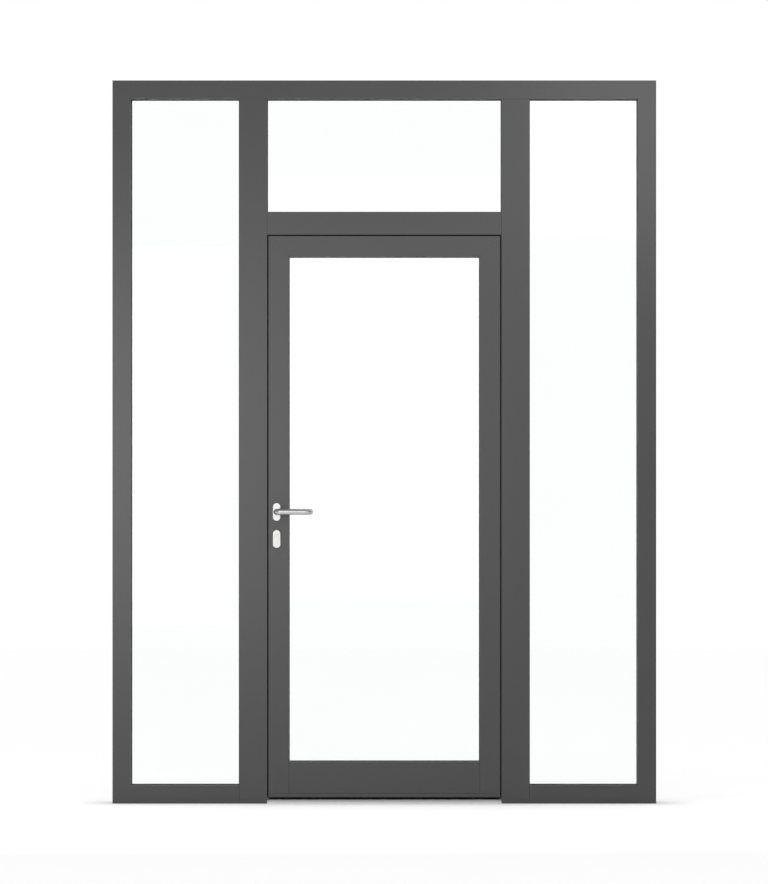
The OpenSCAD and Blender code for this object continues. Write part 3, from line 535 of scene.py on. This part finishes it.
def box_of(corners):
    """Lowest and highest corner of the box round some corners"""
    low = Vector([min(c[i] for c in corners) for i in range(3)])
    high = Vector([max(c[i] for c in corners) for i in range(3)])
    return low, high


# Pieces made with Geometry Nodes


def grown(name, base, growth, values):
    """Runs a geometry node tree on an object and returns the result as a plain mesh object"""
    modifier = base.modifiers.new("growth", "NODES")
    modifier.node_group = growth.tree
    for item in growth.tree.interface.items_tree:
        if item.item_type == "SOCKET" and item.in_out == "INPUT" and item.name in values:
            modifier[item.identifier] = values[item.name]
    view = bpy.context.evaluated_depsgraph_get()
    data = bpy.data.meshes.new_from_object(base.evaluated_get(view), depsgraph=view)
    base.modifiers.remove(modifier)
    bpy.data.objects.remove(base)
    data.name = name
    piece = bpy.data.objects.new(name, data)
    bpy.context.scene.collection.objects.link(piece)
    return piece


def helper(name, vertices, faces=()):
    """Plain mesh object of the stage, or for a geometry node tree to work on"""
    data = bpy.data.meshes.new(name)
    data.from_pydata(vertices, [], list(faces))
    made = bpy.data.objects.new(name, data)
    bpy.context.scene.collection.objects.link(made)
    return made


def bristle_growth(material, tip, lean=0.09, shortest=0.93):
    """Rows of tapered bristles that hang from a grid of points, each turned and leaning at random"""
    g = Growth("bristle rows", [
        ("Length", "NodeSocketFloat"), ("Width", "NodeSocketFloat"), ("Along", "NodeSocketInt"),
        ("Across", "NodeSocketInt"), ("Bristle length", "NodeSocketFloat"),
        ("Bristle radius", "NodeSocketFloat"), ("Jitter", "NodeSocketFloat"), ("Seed", "NodeSocketInt"),
    ])
    grid = g.node(
        "GeometryNodeMeshGrid", Size_X=g.given("Length"), Size_Y=g.given("Width"),
        Vertices_X=g.given("Along"), Vertices_Y=g.given("Across"),
    )
    sideways = (-1.0, -0.6, 0.0)
    low = g.node("ShaderNodeVectorMath", {"operation": "MULTIPLY"}, sideways, g.given("Jitter"))
    high = g.node("ShaderNodeVectorMath", {"operation": "SCALE"}, low, Scale=-1.0)
    moved = g.node("GeometryNodeSetPosition", Geometry=grid, Offset=g.random(low, high))
    bristle = g.node(
        "GeometryNodeMeshCone", {"fill_type": "TRIANGLE_FAN"}, Vertices=3, Side_Segments=1,
        Fill_Segments=1, Radius_Top=tip, Radius_Bottom=g.given("Bristle radius"),
        Depth=g.given("Bristle length"),
    )
    down = math.pi
    angles = g.random((down - lean, -lean / 1.5, 0.0), (down + lean, lean / 1.5, RANDOM_TURN))
    scale = g.node("FunctionNodeRandomValue", {"data_type": "FLOAT"}, None, None, shortest, 1.0)
    placed = g.node(
        "GeometryNodeInstanceOnPoints", Points=moved, Instance=bristle,
        Rotation=g.node("FunctionNodeEulerToRotation", Euler=angles), Scale=scale,
    )
    g.close(placed, material)
    return g


def screw_growth(material):
    """A screw on each point, its shank along the point's axis, its socket turned at random"""
    g = Growth("screws on points", [("Screw", "NodeSocketObject"), ("Seed", "NodeSocketInt")])
    shape = g.node("GeometryNodeObjectInfo", output="Geometry", Object=g.given("Screw"))
    axis = g.node("GeometryNodeInputNamedAttribute", {"data_type": "FLOAT_VECTOR"}, Name="axis")
    facing = g.node("FunctionNodeAlignRotationToVector", {"axis": "Z"}, Vector=axis)
    angles = g.random((0.0, 0.0, 0.0), (0.0, 0.0, RANDOM_TURN))
    spin = g.node("FunctionNodeEulerToRotation", Euler=angles)
    turn = g.node("FunctionNodeRotateRotation", {"rotation_space": "LOCAL"}, facing, spin)
    placed = g.node(
        "GeometryNodeInstanceOnPoints", Points=g.given("Geometry"), Instance=shape, Rotation=turn
    )
    g.close(placed, material)
    return g


def screw_shape(radius, head, length, pan, socket=1.35 * MM):
    """Screw with a hexagon socket, its face at z = 0, its point down -Z, countersunk unless pan"""
    sides = 24
    socket_depth = 1.5 * MM
    bevel = 0.12 * MM
    edge = 0.2 * MM
    rings = []

    def ring(reach, z):
        """Ring of corners at a height, reach giving the radius at an angle"""
        angles = [2 * math.pi * i / sides for i in range(sides)]
        rings.append([(reach(a) * math.cos(a), reach(a) * math.sin(a), z) for a in angles])

    def circle(r, z):
        ring(lambda a: r, z)

    def hexagon(inner, z):
        ring(lambda a: inner / math.cos((a + math.pi / 6) % (math.pi / 3) - math.pi / 6), z)

    hexagon(socket, -socket_depth)
    hexagon(socket, -bevel)
    hexagon(socket + 0.1 * MM, 0.0)
    circle(head - 1.5 * edge, 0.0)
    circle(head, -edge)
    if pan:
        circle(head, -radius)
    circle(radius, -(head - radius))
    circle(radius * 0.96, -length + radius)
    circle(radius * 0.2, -length)
    vertices = [v for corners in rings for v in corners]
    faces = []
    for start in range(0, len(vertices) - sides, sides):
        for i in range(sides):
            j = (i + 1) % sides
            faces.append((start + i, start + j, start + sides + j, start + sides + i))
    faces.append(list(range(sides)))
    faces.append([len(vertices) - sides + i for i in reversed(range(sides))])
    return vertices, faces


def screw_place(corners, radius):
    """Kind, place and direction of a CAD screw's head: kind is (length, pan head)"""
    low, high = box_of(corners)
    axis = max(range(3), key=lambda i: high[i] - low[i])
    middle = (low + high) / 2

    def reach(level):
        """Distance of the corners at a level from the screw's axis"""
        far = 0.0
        for corner in corners:
            if abs(corner[axis] - level) < 0.1 * MM:
                off = corner - middle
                off[axis] = 0.0
                far = max(far, off.length)
        return far

    side = 1 if reach(high[axis]) > reach(low[axis]) else -1
    place = middle.copy()
    place[axis] = high[axis] if side > 0 else low[axis]
    facing = Vector((0.0, 0.0, 0.0))
    facing[axis] = side
    pan = reach(place[axis] - side * radius) > 1.5 * radius
    return (round(high[axis] - low[axis], 4), pan), place, facing


def screws(name, node, seed):
    """Screws where a CAD node has them, as one mesh"""
    radius = bpy.context.scene.door_detail.screw_radius
    kinds = {}
    for corners in islands(node):
        kind, place, facing = screw_place(corners, radius)
        kinds.setdefault(kind, []).append((place, facing))
    growth = screw_growth(finish("screw_steel"))
    parts = []
    for (length, pan), places in sorted(kinds.items()):
        shape = helper("screw shape", *screw_shape(radius, 2 * radius, length, pan))
        base = helper("screw points", [place for place, _ in places])
        axes = base.data.attributes.new("axis", "FLOAT_VECTOR", "POINT")
        for i, (_, facing) in enumerate(places):
            axes.data[i].vector = facing
        parts.append(grown(name, base, growth, {"Screw": shape, "Seed": seed}))
        bpy.data.objects.remove(shape)
        seed += 1
    return merged(name, parts)


def merged(name, parts):
    """Joins mesh objects into the first"""
    first = parts[0]
    with bpy.context.temp_override(active_object=first, object=first, selected_editable_objects=parts):
        bpy.ops.object.join()
    first.name = name
    return first


# Operators


class DOOR_OT_studio(bpy.types.Operator):
    """Camera, floor, surroundings and lamps"""

    bl_idname = "door.studio"
    bl_label = "Studio"

    def execute(self, context):
        s = context.scene.door_studio
        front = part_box("jamb_left")[0].y
        camera = bpy.data.cameras.new("camera")
        camera.lens = s.lens
        camera.sensor_width = 36.0
        camera.shift_y = (s.centre - s.height) / s.distance * s.lens / camera.sensor_width
        camera.clip_start = 0.1
        camera.clip_end = 200.0
        seen = bpy.data.objects.new("camera", camera)
        seen.location = (s.aside, front - s.distance, s.height)
        seen.rotation_euler = (math.pi / 2, 0, 0)
        context.scene.collection.objects.link(seen)
        context.scene.camera = seen
        self.floor(context, s)
        self.surroundings(context, s)
        for lamp in LAMPS:
            self.lamp(context, *lamp)
        context.scene.view_settings.view_transform = "Standard"
        return {"FINISHED"}

    def floor(self, context, s):
        """White floor, its glow fading in with the distance from the door, which paints a darker
        contact shade round the door's foot
        """
        half = s.floor_size / 2
        corners = [(-half, -half, 0), (half, -half, 0), (half, half, 0), (-half, half, 0)]
        floor = helper("studio floor", corners, [(0, 1, 2, 3)])
        material = bpy.data.materials.new("studio floor white")
        shader = Shader(material)
        where = shader.place()
        paper = shader.noise(where, scale=2.0, detail=2.0)
        card = shader.node(
            "ShaderNodeBsdfDiffuse", {}, Color=shader.tint(paper, (0.9, 0.9, 0.9), (0.91, 0.91, 0.91))
        )
        seen = (shader.ray("Camera") + shader.ray("Glossy") + shader.ray("Transmission")).below(1.0)
        x, y = (shader.node("ShaderNodeSeparateXYZ", {}, where, output=axis) for axis in "XY")
        # Painted shade: near the door's foot the glow is held back, so the floor there is painted
        # darker than its light makes it
        beside = ((x * x) ** 0.5 - CAD_BOX[1][0]).above(0.0)
        outside_painted_shade = ((beside * beside + y * y) * s.painted_shade_reach ** -2).below(1.0)
        glow = shader.node("ShaderNodeEmission", {}, Color=WHITE, Strength=seen * outside_painted_shade * s.floor_glow)
        shader.surface(shader.node("ShaderNodeAddShader", {}, card, glow))
        floor.data.materials.append(material)

    def surroundings(self, context, s):
        """White to the camera and in glass, softly shaded in glossy surfaces, dimmer as light"""
        world = bpy.data.worlds.new("studio surroundings")
        context.scene.world = world
        shader = Shader(world)
        glossy = shader.ray("Glossy")
        through = shader.ray("Camera") + shader.ray("Transmission")
        direction = shader.node("ShaderNodeTexCoord", output="Generated")
        shades = sum(shader.toward(direction, aim) ** sharp * depth for aim, sharp, depth in SHADES)
        seen = (glossy + through).below(1.0)
        white = (1.0 - shades * glossy * (1.0 - through.below(1.0))).above(DARKEST_SHADE)
        light = shader.node("ShaderNodeBackground", {}, Color=WHITE, Strength=s.ambient)
        back = shader.node("ShaderNodeBackground", {}, Color=WHITE, Strength=white)
        mixed = shader.node("ShaderNodeMixShader", {}, seen, light, back)
        shader.surface(mixed, "ShaderNodeOutputWorld")

    def lamp(self, context, name, place, width, height, power):
        data = bpy.data.lights.new(name, "AREA")
        data.shape = "RECTANGLE"
        data.size = width
        data.size_y = height
        data.energy = power
        lamp = bpy.data.objects.new(name, data)
        lamp.location = place
        lamp.rotation_euler = Vector((0.0, 1.0, 0.0)).to_track_quat("-Z", "Y").to_euler()
        lamp.visible_camera = False
        context.scene.collection.objects.link(lamp)


class DOOR_OT_profiles(bpy.types.Operator):
    """Coated profiles, hinges and the bare threshold"""

    bl_idname = "door.profiles"
    bl_label = "Profiles"

    def execute(self, context):
        coat(
            "frame_paint", "jamb_left", "jamb_right", "head", "sill_left", "sill_right", "mullion_left",
            "mullion_right", "transom", "sidelight_beads", "transom_light_beads", "hinge_frame_wings",
        )
        coat(
            "leaf_paint", "lock_stile", "hinge_stile", "leaf_top_rail", "leaf_bottom_rail",
            "leaf_beads", "bottom_seal_carrier", "hinge_leaf_wings",
        )
        coat(
            "bare_aluminium", "threshold", "frame_corner_cleats", "frame_joint_connectors",
            "leaf_corner_cleats", "leaf_joint_connectors",
        )
        coat("polyamide", "frame_thermal_breaks", "leaf_thermal_breaks")
        return {"FINISHED"}


class DOOR_OT_glazing(bpy.types.Operator):
    """Insulating glass, spacers and setting blocks"""

    bl_idname = "door.glazing"
    bl_label = "Glazing"

    def execute(self, context):
        for light in ("sidelight_left", "sidelight_right", "transom_light", "leaf"):
            coat("clear_glass", light + "_front_pane", light + "_back_pane")
            coat("polyamide", light + "_spacer")
        coat("polyamide", "frame_setting_blocks", "leaf_setting_blocks")
        return {"FINISHED"}


class DOOR_OT_fittings(bpy.types.Operator):
    """Handles, lock, cylinder, strike and hinge pins"""

    bl_idname = "door.fittings"
    bl_label = "Fittings"

    def execute(self, context):
        coat("handle_steel", "lever_front", "lever_back", "lever_roses", "key_escutcheons")
        coat("lock_steel", "strike_plate", "lock_case", "lock_faceplate", "spindle", "lock_follower",
             "latch_bolt", "dead_bolt", "hinge_pins")
        coat("cylinder_metal", "cylinder_body", "cylinder_plug")
        return {"FINISHED"}


class DOOR_OT_gaskets(bpy.types.Operator):
    """Glazing gaskets with a rounded lip"""

    bl_idname = "door.gaskets"
    bl_label = "Glazing gaskets"

    def execute(self, context):
        sizes = context.scene.door_detail
        self.make(sizes, "frame", "sidelight", "sidelight_left", "sidelight_right")
        self.make(sizes, "frame", "transom_light", "transom_light")
        self.make(sizes, "leaf", "leaf", "leaf")
        return {"FINISHED"}

    def make(self, sizes, body, name, *lights):
        """Front and back gaskets of some lights, in the place of one CAD node"""
        node = name + "_gaskets"
        low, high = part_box(node)
        parts = []
        for light in lights:
            opening = opening_of(light + "_front_pane")
            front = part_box(light + "_front_pane")[0].y
            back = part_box(light + "_back_pane")[1].y
            parts.append(framed(self.lip(sizes, front, low.y), *opening))
            parts.append(framed(self.lip(sizes, back, high.y), *opening))
        mesh_piece(name + "_glazing_gaskets", *join_parts(parts), "gasket_rubber", body, [node])

    def lip(self, sizes, glass, metal):
        """Section from the metal to the glass, its lip rounded towards the glass"""
        step = glass - metal
        lip, width = sizes.lip, sizes.gasket_width
        rounding = [(0.2, 0.0), (0.75, 0.15), (1.0, 0.4), (1.0, 0.65), (0.7, 0.85)]
        groove = [(-width * 0.35, glass), (-width * 0.5, glass - step * 0.2), (-width * 0.65, glass)]
        return (
            [(-width, metal)] + [(lip * out, metal + step * up) for out, up in rounding]
            + [(lip * 0.1, glass)] + groove + [(-width, glass)]
        )


class DOOR_OT_stop_seal(bpy.types.Operator):
    """Bulb seal that the closed leaf presses on"""

    bl_idname = "door.stop_seal"
    bl_label = "Door stop seal"

    width = 10 * MM
    foot = 1.2 * MM
    bulb_share = 0.64
    bulb_steps = 10

    def execute(self, context):
        low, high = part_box("door_stop_seal")
        top = low.y + self.foot
        bulb = high.y - low.y - self.foot
        middle = self.width / 2
        half = middle * self.bulb_share
        arc = []
        for i in range(self.bulb_steps + 1):
            angle = math.pi * (1 - i / self.bulb_steps)
            arc.append((middle + half * math.cos(angle), top + bulb * math.sin(angle)))
        profile = [(0.0, low.y), (0.0, top)] + arc + [(self.width, top), (self.width, low.y)]
        ring = framed(profile, low.x, high.x, low.z, high.z, open_bottom=True)
        mesh_piece("door_stop_bulb_seal", *ring, "gasket_rubber", "frame", ["door_stop_seal"], 40.0)
        return {"FINISHED"}


class DOOR_OT_brushes(bpy.types.Operator):
    """Bristles and backing strips of the two bottom brushes"""

    bl_idname = "door.brushes"
    bl_label = "Bottom brushes"

    # A strip's foot and neck, how far the bristles reach up into it, its clamp's height and taper, the
    # bevel of its edges, and a bristle's radius at the tip
    foot = 3 * MM
    neck = 4 * MM
    tuck = 2 * MM
    clamp = 2.4 * MM
    taper = 0.2 * MM
    edge = 0.6 * MM
    tip = 0.12 * MM
    rows_across = 5

    def execute(self, context):
        sizes = context.scene.door_detail
        strips, rows = [], []
        for k, corners in enumerate(sorted(islands("bottom_brushes"), key=lambda c: c[0].y)):
            low, high = box_of(corners)
            strips.append(self.strip(low, high))
            rows.append(self.row(sizes, low, high, seed=11 + k))
        mesh_piece("brush_backing_strips", *join_parts(strips), "polyamide", "leaf")
        dress(merged("brush_bristles", rows), "brush_fibre", "leaf", ["bottom_brushes"], 0)
        return {"FINISHED"}

    def strip(self, low, high):
        """Backing strip that holds one row: its foot in the carrier's slot, its clamp below"""
        middle, top = (low.y + high.y) / 2, high.z
        side = (low.y - high.y) / 2
        under = top - self.foot
        half = [
            (-self.neck / 2 + 2 * self.taper, under - self.clamp), (-self.neck / 2 + self.taper, under),
            (side, under), (side, top - self.edge), (side + self.edge, top),
        ]
        profile = [(middle + y, z) for y, z in half] + [(middle - y, z) for y, z in reversed(half)]
        count = len(profile)
        vertices = [(x, y, z) for x in (low.x, high.x) for y, z in profile]
        faces = [(i, (i + 1) % count, count + (i + 1) % count, count + i) for i in range(count)]
        faces += [list(reversed(range(count))), [count + i for i in range(count)]]
        return vertices, faces

    def row(self, sizes, low, high, seed):
        """Bristles of one row"""
        length = high.x - low.x - 2 * self.neck
        top = high.z - self.foot - self.tuck
        growth = bristle_growth(finish("brush_fibre"), self.tip)
        made = grown("bristles", helper("brush base", [(0, 0, 0)]), growth, {
            "Length": length, "Width": self.neck - 2 * self.edge,
            "Along": int(length / sizes.bristle_step), "Across": self.rows_across,
            "Bristle length": top - low.z, "Bristle radius": sizes.bristle_radius,
            "Jitter": sizes.bristle_step * 0.4, "Seed": seed,
        })
        for vertex in made.data.vertices:
            vertex.co += Vector((0.0, (low.y + high.y) / 2, top))
        return made


class DOOR_OT_screws(bpy.types.Operator):
    """Screws of hinges, strike, faceplate and roses"""

    bl_idname = "door.screws"
    bl_label = "Screws"

    def execute(self, context):
        for body, seed in (("frame", 3), ("leaf", 20)):
            node = body + "_screws"
            dress(screws(body + "_socket_screws", node, seed), "screw_steel", body, [node])
        return {"FINISHED"}


class DOOR_PT_panel(bpy.types.Panel):
    """Lists the steps that dress the door"""

    bl_label = "Glazed door"
    bl_idname = "DOOR_PT_panel"
    bl_space_type = "VIEW_3D"
    bl_region_type = "UI"
    bl_category = "Door"

    def draw(self, context):
        scene = context.scene
        for settings in (scene.door_studio, scene.door_finish, scene.door_detail):
            box = self.layout.box()
            for name in settings.__annotations__:
                box.prop(settings, name)
        for step in STEPS:
            self.layout.operator(step.bl_idname)


STEPS = (
    DOOR_OT_studio, DOOR_OT_profiles, DOOR_OT_glazing, DOOR_OT_fittings, DOOR_OT_gaskets,
    DOOR_OT_stop_seal, DOOR_OT_brushes, DOOR_OT_screws,
)
CLASSES = (StudioSettings, FinishSettings, DetailSettings) + STEPS + (DOOR_PT_panel,)


def register():
    for item in CLASSES:
        bpy.utils.register_class(item)
    bpy.types.Scene.door_studio = bpy.props.PointerProperty(type=StudioSettings)
    bpy.types.Scene.door_finish = bpy.props.PointerProperty(type=FinishSettings)
    bpy.types.Scene.door_detail = bpy.props.PointerProperty(type=DetailSettings)


def unregister():
    del bpy.types.Scene.door_detail
    del bpy.types.Scene.door_finish
    del bpy.types.Scene.door_studio
    for item in reversed(CLASSES):
        bpy.utils.unregister_class(item)


def main():
    register()
    for step in STEPS:
        group, name = step.bl_idname.split(".")
        getattr(getattr(bpy.ops, group), name)()


if __name__ == "__main__":
    main()
